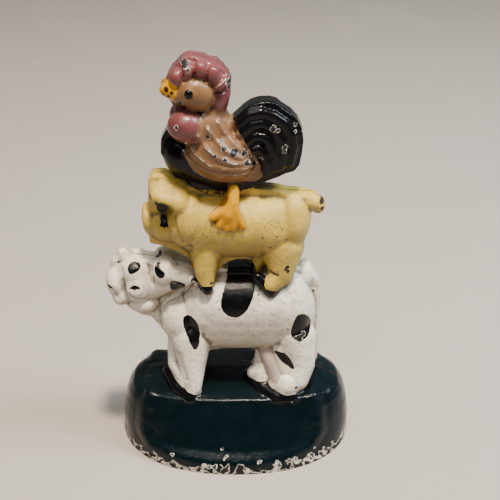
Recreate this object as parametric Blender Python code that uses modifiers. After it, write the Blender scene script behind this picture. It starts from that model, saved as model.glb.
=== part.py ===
"""Three-animal doorstop in cast iron.

A rooster stands on a pig, the pig on a cow and the cow on an oval mound.
The figure is two hollow half castings that meet on the plane Y = 0 and are
held together by three slotted machine screws put in from the back.
Units in the tables below are millimetres; the meshes are in metres.
"""
import math

import bmesh
import bpy
from mathutils import Matrix, Vector

MM = 0.001

# base mound, foot upwards: height, half length, half depth, squareness of the plan
MOUND_LEVELS = [
    (-4.0, 65.8, 51.0, 2.2),
    (1.5, 65.8, 49.9, 2.2),
    (12.0, 65.8, 43.4, 2.35),
    (22.0, 64.6, 37.2, 2.5),
    (29.0, 62.4, 32.8, 2.65),
    (33.2, 59.4, 30.2, 2.8),
    (35.2, 55.5, 28.4, 2.9),
    (36.2, 52.0, 25.5, 3.0),
    (38.7, 47.0, 0.8, 3.0),
]
MOUND_STEPS = 64

# castings
WALL = 4.5
WEB_HALF = 6.0
SEAM_GAP = 0.3
CLAY_VOXEL = 1.5
OUTSIDE_TRIANGLES = 5600
CENTRE_SHIFT = 3.06

# screws: place of each one on the parting plane
SCREW_PLACES = {
    "upper_screw": (-9.0, 172.0),
    "middle_screw": (2.0, 131.0),
    "lower_screw": (3.0, 81.0),
}
SHANK_RADIUS = 2.4
HOLE_RADIUS = 2.8
HEAD_RADIUS = 4.4
HEAD_HEIGHT = 2.8
SEAT_RADIUS = 5.0
SEAT_Y = 8.0
SCREW_TIP_Y = -8.5
SLOT_WIDTH = 1.2
SLOT_DEPTH = 1.3
BOSS_RADIUS = 7.5

# flat outlines of the three animals on the parting plane, as (x, z)
ROOSTER_OUTLINE = [
    (-31, 193), (-32, 203), (-35, 209), (-33, 215), (-28.5, 220.5), (-22, 225),
    (-14, 223), (-6, 219), (-1, 211), (-2, 202), (-5, 194), (-0.5, 191.5),
    (8.5, 199.5), (17, 201.3), (24, 198.5), (30, 194.5), (35, 186.5), (35.8, 177),
    (34, 167), (27, 162), (15, 156.5), (0, 149), (-16, 150), (-28, 159.5),
    (-36, 168), (-38, 175), (-37, 183),
]
PIG_OUTLINE = [
    (-47.5, 141), (-45.4, 152), (-43.5, 160.5), (-37, 161.3), (-30, 157),
    (-10, 153), (10, 153.5), (29, 150.5), (40, 149), (48, 143.7), (48, 138),
    (41, 135), (38, 122), (33, 111), (31, 102), (12, 102), (8, 110.5), (-3, 110.5),
    (-9, 102), (-22, 102), (-25, 112), (-38, 119.5), (-47, 121), (-50.5, 127),
]
COW_OUTLINE = [
    (-71, 98), (-70, 90), (-64, 82), (-54, 77), (-46, 75), (-39, 63), (-36, 50),
    (-38, 40), (-34, 32), (-14, 32), (-12, 49), (-8, 54.5), (13, 54.5), (14, 48),
    (9, 42), (10, 32), (42, 32), (46.5, 48), (47.5, 90), (45, 101), (37, 106.5),
    (-18, 106), (-30, 108), (-42, 112.5), (-55, 113), (-62, 117), (-67.5, 114),
    (-66.5, 105),
]

# rounded masses of the front half, repeated on the back: centre, radii, turn about Y in degrees
MASSES = [
    # rooster: comb, head, wattle, breast, body, tail
    ((-18, 0, 210), (15, 11, 14), 20),
    ((-18, -6, 206), (11, 9, 9.5), 18),
    ((-24, -8.6, 190), (10, 9, 8.5), 0),
    ((-27.5, -1, 172), (10, 11.5, 13), -10),
    ((-8, -1.5, 171), (21, 15.8, 16.5), 22),
    ((16.5, -1, 180), (17, 9, 19), 25),
    # pig: neck, face, snout, rump, tail
    ((-26, -4, 137), (11.5, 15.5, 16), 10),
    ((-36.5, -4, 131.5), (8.5, 8.5, 8.6), 0),
    ((-46.4, 0, 133.8), (3.4, 9.6, 9.0), -6),
    ((30, -3, 133), (10.5, 13.5, 17.5), 8),
    ((41.5, -1, 144), (7.0, 6.5, 5.0), 28),
    # cow: muzzle, face, jaw, poll, near ear, chest, rump
    ((-64.5, -4.5, 95.5), (6.6, 9.4, 10.5), 0),
    ((-54, -4.5, 99), (9.6, 12, 13.5), 0),
    ((-50.8, -4, 86), (8.2, 10.4, 7.0), 0),
    ((-38.8, -6.4, 105.2), (7.8, 8.8, 8.4), 0),
    ((-28.6, -9, 102.8), (8.6, 5.8, 6.0), 22),
    ((-29.5, -4, 74), (11.8, 15, 16), -12),
    ((31.5, -5, 80), (11.6, 15.6, 25), 0),
]

# tapered limbs of the front half, repeated on the back: start, radius, end, radius
LIMBS = [
    # rooster neck, leg and two outer toes
    ((-14, 0, 200), 9.5, (-12, 0, 180), 14.5),
    ((-0.2, -10, 158), 3.6, (-0.8, -15.4, 148.5), 3.6),
    ((-0.8, -15.4, 148.5), 3.6, (-8.0, -17.9, 140.5), 2.4),
    ((-0.8, -15.4, 148.5), 3.6, (2.6, -18.2, 139.5), 2.4),
    # pig barrel, ear, snout root, front leg, hind leg and foot
    ((-16, 0, 132.5), 18.8, (19, 0, 131.5), 18.8),
    ((-40, -1.5, 155.5), 5.2, (-39, -13.0, 151.4), 3.8),
    ((-32, -1.5, 153.5), 6.8, (-31.4, -12.6, 148.6), 5.4),
    ((-36, -3.6, 132.4), 7.6, (-43.5, -2.6, 133.4), 6.4),
    ((-15, -7.5, 121), 9.4, (-15.4, -14, 104.5), 5.2),
    ((25.5, -5.5, 121), 12.4, (25, -12.5, 106), 6.6),
    ((25, -12.5, 106), 6.4, (17, -15.6, 101), 4.6),
    # cow barrel above and below, skull, front leg, hind leg and foot, thigh, udder
    ((-9, 0, 83), 21.4, (24, 0, 83), 21.4),
    ((-14, 0, 75), 19.8, (26, 0, 75), 19.8),
    ((-50, -3.5, 95), 9.6, (-34, -5, 100), 6.4),
    ((-24.4, -11, 66), 11.4, (-24, -17, 52), 7.6),
    ((-24, -17, 52), 7.6, (-24.0, -22.8, 38.8), 5.2),
    ((34, -11, 66), 11.4, (36.4, -16, 51), 8.4),
    ((36.4, -16, 51), 8.4, (29.2, -21.2, 41), 7.8),
    ((29.2, -21.2, 41), 7.8, (22.0, -21.2, 40), 5.8),
    ((29, -11, 60), 9.0, (30, -15.6, 49), 7.6),
    ((17.4, -13.4, 57.5), 4.2, (23.6, -20.6, 44.5), 4.4),
]

# limbs of the front half only: the cow's second front leg and hind foot, each with its hoof
FRONT_LIMBS = [
    ((-32.5, -6, 59), 6.2, (-33.2, -11.5, 48.5), 5.2),
    ((-33.2, -11.5, 48.5), 5.2, (-26.8, -20, 41), 4.4),
    ((-38.8, -9, 41.2), 3.4, (-27, -24.6, 36), 3.6),
    ((17.5, -6, 56), 6.0, (15.4, -14.5, 42.6), 5.9),
    ((8.5, -10.5, 40), 3.8, (17, -20.6, 37.2), 4.4),
]

# hollows of the two halves: start, end and outside radius of each barrel
HOLLOWS = [
    ((-13, 0, 168), (-1, 0, 170), 15.5),
    ((-20, 0, 132), (20, 0, 131), 18.5),
    ((-14, 0, 82), (24, 0, 82), 21.5),
    ((-14, 0, 76), (24, 0, 76), 19.0),
]


def empty_scene():
    for thing in list(bpy.data.objects):
        bpy.data.objects.remove(thing, do_unlink=True)


def make_collection(name):
    made = bpy.data.collections.new(name)
    bpy.context.scene.collection.children.link(made)
    return made


def make_material(name, colour, roughness, metallic):
    made = bpy.data.materials.new(name)
    made.use_nodes = True
    shader = made.node_tree.nodes["Principled BSDF"]
    shader.inputs["Base Color"].default_value = (*colour, 1.0)
    shader.inputs["Roughness"].default_value = roughness
    shader.inputs["Metallic"].default_value = metallic
    return made


def object_from(shape, name, collection):
    mesh = bpy.data.meshes.new(name)
    bmesh.ops.recalc_face_normals(shape, faces=shape.faces)
    shape.to_mesh(mesh)
    shape.free()
    made = bpy.data.objects.new(name, mesh)
    collection.objects.link(made)
    return made


def hide_cutter(cutter):
    cutter.hide_render = True
    cutter.display_type = "WIRE"


def add_ball(shape, centre, radii, turn, segments=3):
    size = Matrix.Diagonal((*(Vector(radii) * MM), 1.0))
    place = Matrix.Translation(Vector(centre) * MM)
    spin = Matrix.Rotation(math.radians(turn), 4, "Y")
    bmesh.ops.create_icosphere(shape, subdivisions=segments, radius=1.0, matrix=place @ spin @ size)


def add_limb(shape, start, start_radius, end, end_radius, detail=3):
    """The skin stretched over two balls."""
    part = bmesh.new()
    for centre, radius in ((start, start_radius), (end, end_radius)):
        place = Matrix.Translation(Vector(centre) * MM)
        bmesh.ops.create_icosphere(part, subdivisions=detail, radius=radius * MM, matrix=place)
    bmesh.ops.delete(part, geom=part.edges, context="EDGES_FACES")
    bmesh.ops.convex_hull(part, input=part.verts)
    spare = [v for v in part.verts if not v.link_faces]
    bmesh.ops.delete(part, geom=spare, context="VERTS")
    mesh = bpy.data.meshes.new("limb")
    part.to_mesh(mesh)
    part.free()
    shape.from_mesh(mesh)
    bpy.data.meshes.remove(mesh)


def add_cylinder(shape, x, z, radius, y_start, y_end, segments=24):
    """A closed cylinder along Y."""
    length = (y_end - y_start) * MM
    middle = Vector((x, (y_start + y_end) / 2, z)) * MM
    turn = Matrix.Translation(middle) @ Matrix.Rotation(math.radians(90), 4, "X")
    bmesh.ops.create_cone(
        shape, cap_ends=True, segments=segments, radius1=radius * MM, radius2=radius * MM,
        depth=length, matrix=turn,
    )


def add_box(shape, low, high):
    middle = (Vector(low) + Vector(high)) / 2 * MM
    size = (Vector(high) - Vector(low)) * MM
    matrix = Matrix.Translation(middle) @ Matrix.Diagonal((*size, 1.0))
    bmesh.ops.create_cube(shape, size=1.0, matrix=matrix)


def add_outline(shape, points, half):
    """A flat plate of an outline in XZ, reaching from -half to +half along Y."""
    curve = bpy.data.curves.new("outline", "CURVE")
    curve.dimensions = "2D"
    curve.fill_mode = "BOTH"
    curve.extrude = half * MM
    line = curve.splines.new("POLY")
    line.points.add(len(points) - 1)
    for point, (x, z) in zip(line.points, points):
        point.co = (x * MM, z * MM, 0.0, 1.0)
    line.use_cyclic_u = True
    holder = bpy.data.objects.new("outline", curve)
    mesh = bpy.data.meshes.new_from_object(holder)
    mesh.transform(Matrix.Rotation(math.radians(90), 4, "X"))
    shape.from_mesh(mesh)
    bmesh.ops.remove_doubles(shape, verts=shape.verts, dist=1e-6)
    bpy.data.objects.remove(holder)
    bpy.data.curves.remove(curve)
    bpy.data.meshes.remove(mesh)


def plan_point(turn, half_length, half_depth, squareness):
    power = 2.0 / squareness
    x = math.copysign(abs(math.cos(turn)) ** power, math.cos(turn)) * half_length
    y = math.copysign(abs(math.sin(turn)) ** power, math.sin(turn)) * half_depth
    return x, y


def make_mound(name, cutters, inset):
    """The oval base, or with an inset the hollow inside it."""
    shape = bmesh.new()
    rings = []
    for height, half_length, half_depth, squareness in MOUND_LEVELS:
        sunk = height - inset * (2.0 if height < 0 else 1.0)
        thin = max(half_depth - inset * 1.2, 0.4)
        ring = []
        for step in range(MOUND_STEPS):
            turn = 2 * math.pi * step / MOUND_STEPS
            x, y = plan_point(turn, half_length - inset, thin, squareness)
            ring.append(shape.verts.new((x * MM, y * MM, sunk * MM)))
        rings.append(ring)
    for lower, upper in zip(rings, rings[1:]):
        for step in range(MOUND_STEPS):
            after = (step + 1) % MOUND_STEPS
            shape.faces.new((lower[step], lower[after], upper[after], upper[step]))
    shape.faces.new(list(reversed(rings[0])))
    shape.faces.new(rings[-1])
    mound = object_from(shape, name, cutters)
    hide_cutter(mound)
    return mound


def boolean(target, tool, operation):
    change = target.modifiers.new("cut", "BOOLEAN")
    change.operation = operation
    change.solver = "EXACT"
    change.object = tool
    bake(target)


def bake(target):
    """Turn the modifiers of an object into its mesh."""
    bpy.context.view_layer.update()
    graph = bpy.context.evaluated_depsgraph_get()
    mesh = bpy.data.meshes.new_from_object(target.evaluated_get(graph))
    old = target.data
    target.modifiers.clear()
    target.data = mesh
    bpy.data.meshes.remove(old)


def mirrored(point):
    return (point[0], -point[1], point[2])


def model_animals(shape):
    """Plates on the parting plane with the same masses on the front and the back."""
    for outline in (ROOSTER_OUTLINE, PIG_OUTLINE, COW_OUTLINE):
        plate = bmesh.new()
        add_outline(plate, outline, WEB_HALF)
        mesh = bpy.data.meshes.new("plate")
        plate.to_mesh(mesh)
        plate.free()
        shape.from_mesh(mesh)
        bpy.data.meshes.remove(mesh)
    for centre, radii, turn in MASSES:
        add_ball(shape, centre, radii, turn)
        add_ball(shape, mirrored(centre), radii, turn)
    for start, start_radius, end, end_radius in LIMBS:
        add_limb(shape, start, start_radius, end, end_radius)
        add_limb(shape, mirrored(start), start_radius, mirrored(end), end_radius)
    for start, start_radius, end, end_radius in FRONT_LIMBS:
        add_limb(shape, start, start_radius, end, end_radius)


def model_outside(cutters):
    """One solid skin of the whole figure, with its foot cut flat."""
    shape = bmesh.new()
    model_animals(shape)
    figure = object_from(shape, "outside", cutters)
    mound = make_mound("mound", cutters, 0.0)
    joined = bmesh.new()
    joined.from_mesh(figure.data)
    joined.from_mesh(mound.data)
    joined.to_mesh(figure.data)
    joined.free()
    skin = figure.modifiers.new("skin", "REMESH")
    skin.mode = "VOXEL"
    skin.voxel_size = CLAY_VOXEL * MM
    soften = figure.modifiers.new("soften", "SMOOTH")
    soften.factor = 0.5
    soften.iterations = 4
    bake(figure)
    thin = figure.modifiers.new("thin", "DECIMATE")
    thin.ratio = min(1.0, OUTSIDE_TRIANGLES / (2.0 * len(figure.data.polygons)))
    bake(figure)
    foot = bmesh.new()
    add_box(foot, (-90, -70, -12), (90, 70, 0))
    cutter = object_from(foot, "foot_cut", cutters)
    hide_cutter(cutter)
    boolean(figure, cutter, "DIFFERENCE")
    hide_cutter(figure)
    return figure


def model_hollows(cutters):
    """The inside of the figure, with solid bosses left standing for the screws."""
    shapes = []
    for number, (start, end, radius) in enumerate(HOLLOWS):
        shape = bmesh.new()
        add_limb(shape, start, radius - WALL, end, radius - WALL, 2)
        shapes.append(object_from(shape, f"hollow_{number}", cutters))
    for shape in shapes:
        for x, z in SCREW_PLACES.values():
            boss = bmesh.new()
            add_cylinder(boss, x, z, BOSS_RADIUS, -40, 40)
            tool = object_from(boss, "boss", cutters)
            hide_cutter(tool)
            boolean(shape, tool, "DIFFERENCE")
    for shape in shapes:
        hide_cutter(shape)
    shapes.append(make_mound("base_hollow", cutters, WALL))
    return shapes


def cut_screw_holes(casting, cutters):
    for name, (x, z) in SCREW_PLACES.items():
        hole = bmesh.new()
        add_cylinder(hole, x, z, HOLE_RADIUS, SCREW_TIP_Y - 0.4, SEAT_Y + 1.0)
        drill = object_from(hole, name + "_hole", cutters)
        seat = bmesh.new()
        add_cylinder(seat, x, z, SEAT_RADIUS, SEAT_Y, 45)
        counterbore = object_from(seat, name + "_seat", cutters)
        for tool in (drill, counterbore):
            hide_cutter(tool)
            boolean(casting, tool, "DIFFERENCE")


def make_half(name, figure, hollows, side, castings, cutters):
    """One half casting: the figure on one side of the parting plane, hollowed."""
    half = bpy.data.objects.new(name, figure.data.copy())
    castings.objects.link(half)
    near = SEAM_GAP / 2
    block = bmesh.new()
    low = (-100, near if side > 0 else -80, -20)
    high = (100, 80 if side > 0 else -near, 260)
    add_box(block, low, high)
    keep = object_from(block, name + "_side", cutters)
    hide_cutter(keep)
    boolean(half, keep, "INTERSECT")
    for hollow in hollows:
        boolean(half, hollow, "DIFFERENCE")
    cut_screw_holes(half, cutters)
    return half


def make_screw(name, x, z, castings, cutters):
    """A slotted cheese-head screw along Y, its head towards +Y."""
    seat = SEAT_Y + SEAM_GAP
    shape = bmesh.new()
    add_cylinder(shape, x, z, HEAD_RADIUS, seat, seat + HEAD_HEIGHT, 28)
    screw = object_from(shape, name, castings)
    stem = bmesh.new()
    add_cylinder(stem, x, z, SHANK_RADIUS, SCREW_TIP_Y, seat + 0.8, 20)
    shank = object_from(stem, name + "_shank", cutters)
    slot = bmesh.new()
    top = seat + HEAD_HEIGHT
    half = SLOT_WIDTH / 2
    add_box(slot, (x - 9, top - SLOT_DEPTH, z - half), (x + 9, top + 2, z + half))
    groove = object_from(slot, name + "_slot", cutters)
    for tool in (shank, groove):
        hide_cutter(tool)
    boolean(screw, shank, "UNION")
    boolean(screw, groove, "DIFFERENCE")
    return screw


def finish_part(part, material, angle):
    part.data.transform(Matrix.Translation((CENTRE_SHIFT * MM, 0.0, 0.0)))
    part.data.materials.clear()
    part.data.materials.append(material)
    part.data.shade_smooth()
    part.data.set_sharp_from_angle(angle=math.radians(angle))


def main():
    empty_scene()
    castings = make_collection("three_animal_doorstop")
    cutters = make_collection("cutters")
    front_iron = make_material("front_paint", (0.62, 0.55, 0.42), 0.35, 0.0)
    back_iron = make_material("back_paint", (0.58, 0.50, 0.38), 0.35, 0.0)
    steel = make_material("screw_steel", (0.20, 0.19, 0.18), 0.5, 1.0)
    figure = model_outside(cutters)
    hollows = model_hollows(cutters)
    front = make_half("front_casting", figure, hollows, -1, castings, cutters)
    back = make_half("back_casting", figure, hollows, 1, castings, cutters)
    finish_part(front, front_iron, 50)
    finish_part(back, back_iron, 50)
    for name, (x, z) in SCREW_PLACES.items():
        screw = make_screw(name, x, z, castings, cutters)
        finish_part(screw, steel, 40)


main()
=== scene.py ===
"""Looks of the three-animal doorstop: a rooster on a pig on a cow on a mound.

Run as a script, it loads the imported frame, models the two painted half
castings and their screws, and sets up a plain studio. Tables are in
millimetres with x = 0 at the middle of the base, y = 0 on the seam and
z = 0 on the ground; meshes are in metres.
"""
import math

import bmesh
import bpy
import numpy as np
from bpy.props import FloatProperty, FloatVectorProperty, IntProperty, PointerProperty
from bpy.types import Operator, Panel, PropertyGroup
from mathutils import Matrix, Vector


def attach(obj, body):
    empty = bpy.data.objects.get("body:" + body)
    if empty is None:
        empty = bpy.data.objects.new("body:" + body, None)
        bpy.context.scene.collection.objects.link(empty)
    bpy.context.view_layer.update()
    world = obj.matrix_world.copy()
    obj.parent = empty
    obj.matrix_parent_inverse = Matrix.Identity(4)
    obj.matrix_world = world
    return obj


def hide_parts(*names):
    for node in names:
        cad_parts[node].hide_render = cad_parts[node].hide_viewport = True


bl_info = {
    "name": "Three-Animal Doorstop",
    "version": (1, 0, 0),
    "blender": (4, 5, 0),
    "location": "3D View > Sidebar > Doorstop",
    "description": "Models and paints a stacked-animal cast-iron doorstop",
    "category": "Object",
}

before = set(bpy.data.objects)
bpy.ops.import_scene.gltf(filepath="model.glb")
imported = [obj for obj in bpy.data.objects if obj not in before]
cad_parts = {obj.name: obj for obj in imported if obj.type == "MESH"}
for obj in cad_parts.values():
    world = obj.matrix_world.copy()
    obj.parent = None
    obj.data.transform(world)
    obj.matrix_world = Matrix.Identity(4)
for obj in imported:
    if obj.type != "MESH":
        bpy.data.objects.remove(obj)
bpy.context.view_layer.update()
MM = 0.001
FIGURE_X = 3.06
SEAM_GAP = 0.3

# base mound, foot upwards: height, half length, half depth, squareness of the plan
MOUND_LEVELS = [
    (-4.0, 65.8, 51.0, 2.2),
    (1.5, 65.8, 49.9, 2.2),
    (12.0, 65.8, 43.4, 2.35),
    (22.0, 64.6, 37.2, 2.5),
    (29.0, 62.4, 32.8, 2.65),
    (33.2, 59.4, 30.2, 2.8),
    (35.2, 55.5, 28.4, 2.9),
    (36.2, 52.0, 25.5, 3.0),
    (38.7, 47.0, 0.8, 3.0),
]
WALL = 4.5

# screws, as in the solids: place on the seam plane, hole and seat sizes
SCREW_PLACES = {
    "upper_screw": (-9.0, 172.0),
    "middle_screw": (2.0, 131.0),
    "lower_screw": (3.0, 81.0),
}
HOLE_RADIUS = 2.8
SEAT_RADIUS = 5.0
SEAT_Y = 8.0
SCREW_TIP_Y = -8.5
BOSS_RADIUS = 7.5

# paint names, undermost first; each clay mass carries the paint it is given
PAINTS = ("cow", "base", "pig", "black", "udder", "body", "comb", "face", "beak", "leg", "ink")

# flat plates on the seam plane: paint, half thickness, outline (x, z)
PLATES = [
    ("comb", 6.0, [
        (-29, 193), (-31, 200), (-34, 205), (-35.2, 209.5), (-33, 215), (-28.5, 220.5),
        (-25.5, 223.8), (-22, 225), (-18, 224.4), (-14, 222.8), (-9, 221.4), (-5.5, 219),
        (-2, 214.5), (-1, 211), (-1.4, 205), (-2.8, 199), (-5, 193), (-15, 188),
    ]),
    ("black", 6.0, [
        (-5.5, 197), (-3.8, 192), (-1.5, 190.5), (-0.5, 191.5), (3, 188), (12, 162),
        (0, 148), (-14, 149), (-22, 154.5), (-28, 160.5), (-35, 167.5), (-38, 173.5),
        (-37.6, 181), (-34, 187), (-31, 193),
    ]),
    ("black", 6.0, [
        (-1.5, 191), (1.8, 193.8), (5, 197), (8.7, 199.7), (13, 201), (17.5, 201.3),
        (21.6, 200.4), (25.3, 197.4), (29.6, 194.6), (33, 190.7), (35.3, 185.8),
        (35.9, 180.3), (35.4, 174), (34.1, 166.8), (31.5, 163.4), (26.8, 162),
        (23, 160), (14, 156.5), (4, 153), (-2, 170),
    ]),
    ("pig", 6.0, [
        (-46, 143), (-45.4, 152), (-45.1, 158.2), (-43.4, 160.8), (-37.2, 161.3),
        (-33.6, 159.8), (-29, 156.5), (-19, 153.5), (-5, 152.5), (10.4, 153.6),
        (21.4, 152.5), (29.4, 150.6), (34.6, 150.3), (40.4, 148.8), (41, 136.6),
        (40, 133), (39.2, 128.6), (37.6, 122.5), (34.5, 115.8), (33, 108), (31, 102),
        (13, 102), (10.5, 107), (6, 110.2), (-3, 110.2), (-8, 107), (-10, 102),
        (-22, 102), (-24.4, 111.5), (-30.3, 116), (-38.8, 120), (-46, 121.5),
    ]),
    ("cow", 6.0, [
        (-66, 106), (-68, 98), (-66, 88), (-58, 80), (-52, 76.5), (-47, 75.5),
        (-43, 70), (-38.9, 63.3), (-36.2, 57), (-35.4, 51), (-38, 40), (-33, 30),
        (-22, 30), (-20, 46), (-15, 53), (-6, 54.5), (10, 54.5), (14, 50), (10, 40),
        (11, 30), (41, 30), (43.5, 40), (46.8, 48), (47, 70), (47.6, 90), (46.8, 97),
        (43, 103.5), (38, 105.6), (33, 106.5), (-18, 106), (-30, 108), (-47, 111.5),
        (-56, 112.5),
    ]),
]

# rounded masses of one side: paint, centre, radii, turn about y in degrees
BALLS = [
    # rooster
    ("comb", (-18, 0, 210.5), (14.2, 8.6, 12.5), 20),
    ("comb", (-28.0, -8.2, 214.6), (4.2, 4.0, 4.2), 0),
    ("comb", (-22.4, -8.2, 218.2), (3.9, 3.9, 4.3), 0),
    ("comb", (-16.2, -8.2, 218.9), (3.8, 3.9, 4.3), 0),
    ("comb", (-10.4, -8.2, 216.9), (3.9, 3.9, 4.3), 20),
    ("comb", (-6.6, -8.2, 211.6), (3.8, 3.9, 4.4), 50),
    ("comb", (-6.8, -6.2, 202.5), (3.6, 4.0, 7.0), 8),
    ("face", (-18.8, -6.6, 206.4), (10.2, 8.2, 8.8), 18),
    ("comb", (-24.0, -8.6, 189.6), (9.9, 9.2, 8.4), 0),
    ("black", (-15, -2, 187), (12, 12, 12), 0),
    ("black", (-7.5, -1.5, 173), (20.5, 15.6, 15.0), 27),
    ("black", (-27.5, -1, 172), (9.8, 11.5, 12.5), -10),
    ("black", (-9, 0, 164), (20.0, 10.5, 12.0), 20),
    ("black", (14.5, -1, 179.5), (15.0, 7.8, 18.0), 25),
    ("ink", (-21.9, -14.0, 207.8), (2.2, 1.5, 2.2), 0),
    # pig: neck, face, rump tail and thigh
    ("pig", (-25, -4, 136), (11, 15.5, 16), 10),
    ("pig", (-36.5, -4, 131.4), (8.4, 8.4, 8.6), 0),
    ("pig", (-47.4, 0, 134.0), (2.4, 9.4, 8.7), -6),
    ("pig", (-45.4, 0, 133.7), (2.5, 9.8, 9.0), -6),
    ("pig", (40.5, -1, 145), (6.6, 6.4, 4.8), 28),
    ("pig", (44.6, -1, 142.2), (4.2, 4.6, 4.6), 0),
    ("pig", (30, -3, 133), (10.5, 13.5, 17.5), 8),
    # cow: muzzle and lip, face, brow, jaw, poll, near ear, far ear, chest, rump
    ("cow", (-65.4, -4.5, 97.6), (5.6, 9.2, 8.8), -8),
    ("cow", (-62.6, -5.0, 90.6), (5.6, 9.2, 6.2), 22),
    ("cow", (-53.5, -4.5, 97.0), (9.2, 12.0, 12.5), 0),
    ("cow", (-55.0, -5.0, 104.3), (8.6, 9.6, 8.2), 0),
    ("cow", (-50.8, -4.0, 85.6), (8.2, 10.4, 6.8), 0),
    ("cow", (-38.8, -6.4, 105.2), (7.7, 8.8, 8.2), 0),
    ("cow", (-28.6, -9.0, 102.8), (8.6, 5.6, 5.8), 22),
    ("cow", (-60.5, 0, 111.5), (4.0, 5.0, 5.5), -35),
    ("cow", (-65.3, 0, 108.6), (3.2, 4.8, 4.6), 30),
    ("cow", (-29.5, -4, 74), (11.8, 15.0, 16), -12),
    ("cow", (31.5, -5, 80), (11.6, 15.6, 25), 0),
    ("cow", (38.6, -1, 100), (5.2, 7.5, 8.4), 0),
]

# tapered limbs of one side: paint, start, radius, end, radius
LIMBS = [
    # rooster neck, cheek, beak, leg and toes
    ("black", (-14, 0, 198), 8.5, (-12, -1, 184), 12.5),
    ("face", (-20, -6.4, 206.6), 7.2, (-26.5, -6.2, 206.2), 5.6),
    ("black", (-25, -0.5, 168.5), 10.2, (-11, 0, 163.5), 10.4),
    ("beak", (-29.4, -5.8, 207.2), 5.3, (-34.0, -5.0, 207.4), 3.4),
    ("leg", (-0.2, -11.0, 155), 3.2, (-0.4, -15.4, 149.5), 3.2),
    ("leg", (-0.6, -15.0, 150), 3.2, (-3.0, -17.6, 144), 3.4),
    ("leg", (-1.2, -15.8, 148), 3.0, (-11.2, -17.9, 142.2), 1.5),
    ("leg", (-1.5, -16.6, 146), 3.0, (-7.6, -18.5, 138.4), 1.5),
    ("leg", (-1.5, -16.6, 146), 3.0, (-3.9, -18.7, 136.9), 1.5),
    ("leg", (-0.5, -16.6, 146), 3.0, (-0.3, -18.7, 136.9), 1.5),
    ("leg", (0.0, -16.4, 147), 2.8, (4.4, -18.5, 137.8), 1.5),
    # pig barrel, snout, ear flap, front leg, hind leg and foot, second hind leg
    ("pig", (-16, 0, 132.5), 18.6, (19, 0, 131.5), 18.6),
    ("pig", (19, 0, 131.5), 18.2, (26, 0, 132.5), 15.2),
    ("pig", (-36.0, -3.6, 132.4), 7.6, (-43.5, -2.6, 133.4), 6.2),
    ("pig", (-41.0, -1.5, 155.5), 4.8, (-40.4, -12.6, 151.8), 3.4),
    ("pig", (-38.0, -1.5, 156.0), 5.2, (-37.4, -14.2, 151.0), 3.4),
    ("pig", (-34.4, -1.5, 155.0), 5.8, (-34.0, -14.0, 150.0), 4.0),
    ("pig", (-30.5, -1.5, 152.5), 7.0, (-30.0, -11.6, 147.6), 6.2),
    ("pig", (-15, -7.5, 121), 9.4, (-15.8, -12.6, 109), 6.0),
    ("pig", (-15.8, -12.6, 109), 6.0, (-15.4, -14.6, 103.0), 4.4),
    ("pig", (25.5, -5.5, 121), 12.4, (25.5, -12.0, 107), 6.6),
    ("pig", (25.5, -12.2, 106), 6.2, (19.5, -15.0, 101.5), 4.8),
    ("pig", (14.5, -4.0, 114), 4.5, (11.5, -6.0, 106), 3.2),
    # cow barrel in three layers, skull back, front leg, hind leg and foot, udder
    ("cow", (-9, 0, 83.0), 21.4, (24, 0, 83.0), 21.4),
    ("cow", (-12, 0, 79.0), 20.9, (25, 0, 79.0), 20.9),
    ("cow", (-14, 0, 75.0), 19.8, (26, 0, 75.0), 19.8),
    ("cow", (-50, -3.5, 95), 9.6, (-34, -5, 100.0), 6.4),
    ("cow", (-24.4, -11.0, 66), 11.4, (-24.0, -17.0, 52), 7.6),
    ("cow", (-24.0, -17.0, 52), 7.6, (-23.4, -22.6, 39.6), 4.6),
    ("cow", (34, -11.0, 66), 11.4, (36.4, -16.0, 51), 8.4),
    ("cow", (36.4, -16.0, 51), 8.4, (34.6, -20.0, 43.5), 6.8),
    ("cow", (34.0, -19.6, 43.5), 6.8, (29.2, -21.2, 41.2), 7.6),
    ("cow", (29.2, -21.2, 41.2), 7.6, (24.6, -20.4, 41.4), 5.6),
    ("cow", (29.0, -11.0, 60), 9.0, (30.0, -15.6, 49), 7.6),
    ("udder", (17.4, -13.4, 57.5), 4.0, (22.6, -18.6, 48), 4.3),
    ("udder", (22.6, -18.6, 48), 4.3, (24.0, -21.6, 43.4), 3.9),
    # hooves: dark wedges where the feet meet the ground or the back below
    ("black", (-33.0, -20.0, 37.6), 3.6, (-25.0, -25.6, 35.2), 3.4),
    ("black", (15.0, -19.0, 37.6), 4.4, (24.0, -26.0, 35.2), 3.9),
    ("black", (24.0, -26.0, 35.2), 3.9, (31.5, -26.6, 35.0), 3.0),
    ("black", (-20.6, -14.4, 103.0), 2.6, (-14.6, -17.4, 99.4), 3.0),
    ("black", (12.5, -13.8, 105.0), 3.4, (19.8, -17.0, 97.8), 3.0),
]

# limbs of the front casting only: the cow's second front leg and hind foot with their hooves
FRONT_LIMBS = [
    ("cow", (-32.5, -6.0, 59), 6.2, (-33.2, -11.5, 48.5), 5.2),
    ("cow", (-33.2, -11.5, 48.5), 5.2, (-26.8, -20.0, 41.0), 4.4),
    ("cow", (17.5, -6.0, 56), 6.0, (15.4, -14.5, 42.6), 5.9),
    ("cow", (15.4, -14.5, 42.6), 5.9, (11.0, -13.4, 43.6), 4.2),
    ("black", (-38.8, -9.0, 41.2), 3.2, (-33.0, -20.0, 37.6), 3.6),
    ("black", (8.0, -10.5, 40.0), 3.8, (15.0, -19.0, 37.6), 4.4),
]

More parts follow.
